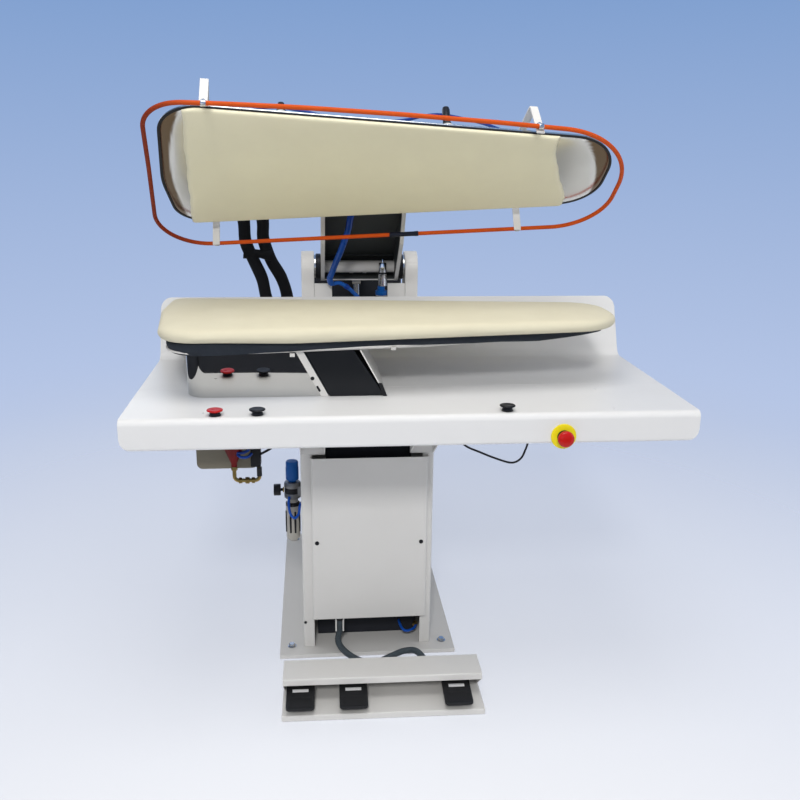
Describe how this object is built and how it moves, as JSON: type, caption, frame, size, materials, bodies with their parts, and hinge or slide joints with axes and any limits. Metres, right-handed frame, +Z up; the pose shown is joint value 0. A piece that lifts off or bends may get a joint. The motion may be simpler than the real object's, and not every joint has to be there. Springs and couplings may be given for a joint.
{
  "type": "ironing press",
  "caption": "Upright pneumatic ironing press: padded buck on a table, matching heated head on a pivoting arm, white column, push buttons and foot pedals.",
  "frame": {"origin": "floor level under the column's centre plane, on the underside of the base plate", "axes": "+Z up; +Y from the operator's side (table and pedals) to the back; +X to the operator's right"},
  "size_m": [1.384, 1.2696, 1.6155],
  "materials": {
    "white_paint": "smooth semi-gloss warm white paint",
    "table_paint": "smooth light grey table coating",
    "bright_steel": "ground bright steel",
    "polished_steel": "mirror polished stainless steel",
    "polished_aluminium": "polished light metal press head",
    "olive_steel": "olive plated sheet",
    "zinc_grey": "cast light alloy, matt",
    "brass": "plain brass",
    "grey_felt": "dense grey felt edge",
    "cream_cloth": "tight cream pressing cloth",
    "black_plastic": "matt black plastic",
    "red_plastic": "glossy red plastic",
    "yellow_plastic": "glossy yellow plastic",
    "blue_plastic": "glossy blue plastic",
    "black_rubber": "matt black rubber",
    "grey_conduit": "grey corrugated conduit",
    "blue_tube": "blue air tube",
    "orange_silicone": "orange silicone sleeve"
  },
  "bodies": {
    "frame": {"base_plate": "white_paint", "column_left_side": "white_paint", "column_right_side": "white_paint", "front_cover": "white_paint", "rear_panel": "white_paint", "column_top_plate": "white_paint", "left_bearing_post": "white_paint", "right_bearing_post": "white_paint", "pivot_shaft": "bright_steel", "cylinder_barrel": "bright_steel", "front_table": "table_paint", "rear_table": "table_paint", "left_table_arm": "white_paint", "right_table_arm": "white_paint", "buck_pan": "white_paint", "buck_skirt": "grey_felt", "buck_pad": "cream_cloth", "suction_duct": "black_plastic", "polished_pedestal": "polished_steel", "red_button_collar": "black_plastic", "left_black_button_collar": "black_plastic", "right_black_button_collar": "black_plastic", "stop_base": "yellow_plastic", "hanging_plate": "olive_steel", "fill_funnel": "red_plastic", "drain_elbow": "brass", "drain_valve": "black_plastic", "regulator_body": "zinc_grey", "filter_bowl": "zinc_grey", "pedal_tray": "white_paint", "pedal_hood": "white_paint", "pedal_shaft": "bright_steel", "conduit_gland": "black_plastic", "pedal_conduit": "grey_conduit", "switch_cable": "black_rubber", "arm_air_hose": "blue_tube", "left_steam_hose": "black_rubber", "right_steam_hose": "black_rubber"},
    "head": {"press_arm": "white_paint", "head_shell": "polished_aluminium", "head_pad": "cream_cloth", "head_plate": "white_paint", "safety_ring": "orange_silicone", "front_ring_bracket_1": "white_paint", "front_ring_bracket_2": "white_paint", "rear_ring_bracket_1": "white_paint", "rear_ring_bracket_2": "white_paint", "left_head_fitting": "black_plastic", "right_head_fitting": "black_plastic", "head_air_tube": "blue_tube"},
    "rod": {"piston_rod": "bright_steel"},
    "red_button": {"red_button": "red_plastic"},
    "left_black_button": {"left_black_button": "black_plastic"},
    "right_black_button": {"right_black_button": "black_plastic"},
    "stop_button": {"stop_button": "red_plastic"},
    "left_pedal": {"left_pedal": "black_rubber"},
    "middle_pedal": {"middle_pedal": "black_rubber"},
    "right_pedal": {"right_pedal": "black_rubber"},
    "regulator_knob": {"regulator_knob": "blue_plastic"},
    "side_knob": {"side_knob": "black_plastic"}
  },
  "joints": [
    {"name": "head_swing", "type": "hinge", "parent": "frame", "child": "head", "pos_m": [0, 0.131, 1.088], "axis": [1, 0, 0], "range_deg": [0, 36.5], "stiffness_Nm_per_rad": 600, "springref_deg": -51.57, "deforming": ["left_steam_hose", "right_steam_hose", "arm_air_hose"]},
    {"name": "rod_slide", "type": "slide", "parent": "frame", "child": "rod", "axis": [0, 0, 1], "range_m": [0, 0.0826]},
    {"name": "red_button_press", "type": "slide", "parent": "frame", "child": "red_button", "axis": [0, 0, -1], "range_m": [0, 0.003], "stiffness_N_per_m": 900, "springref_m": -0.002},
    {"name": "left_black_button_press", "type": "slide", "parent": "frame", "child": "left_black_button", "axis": [0, 0, -1], "range_m": [0, 0.003], "stiffness_N_per_m": 900, "springref_m": -0.002},
    {"name": "right_black_button_press", "type": "slide", "parent": "frame", "child": "right_black_button", "axis": [0, 0, -1], "range_m": [0, 0.003], "stiffness_N_per_m": 900, "springref_m": -0.002},
    {"name": "stop_button_press", "type": "slide", "parent": "frame", "child": "stop_button", "axis": [0, 1, 0], "range_m": [0, 0.004]},
    {"name": "left_pedal_press", "type": "hinge", "parent": "frame", "child": "left_pedal", "pos_m": [-0.1961, -0.6105, 0.056], "axis": [0.9999, -0.0157, 0], "range_deg": [0, 5], "stiffness_Nm_per_rad": 6, "springref_deg": -5.73},
    {"name": "middle_pedal_press", "type": "hinge", "parent": "frame", "child": "middle_pedal", "pos_m": [-0.0542, -0.6127, 0.056], "axis": [0.9999, -0.0157, 0], "range_deg": [0, 5], "stiffness_Nm_per_rad": 6, "springref_deg": -5.73},
    {"name": "right_pedal_press", "type": "hinge", "parent": "frame", "child": "right_pedal", "pos_m": [0.2268, -0.6172, 0.056], "axis": [0.9999, -0.0157, 0], "range_deg": [0, 5], "stiffness_Nm_per_rad": 6, "springref_deg": -5.73},
    {"name": "regulator_knob_turn", "type": "hinge", "parent": "frame", "child": "regulator_knob", "pos_m": [-0.219, -0.23, 0.51], "axis": [0, 0, 1], "range_deg": [0, 300]},
    {"name": "side_knob_turn", "type": "hinge", "parent": "frame", "child": "side_knob", "pos_m": [-0.2593, -0.23, 0.457], "axis": [-1, 0, 0], "range_deg": [0, 90]}
  ],
  "couplings": [
    {"joint": "rod_slide", "follows": "head_swing", "m_per_rad": 0.1294}
  ]
}
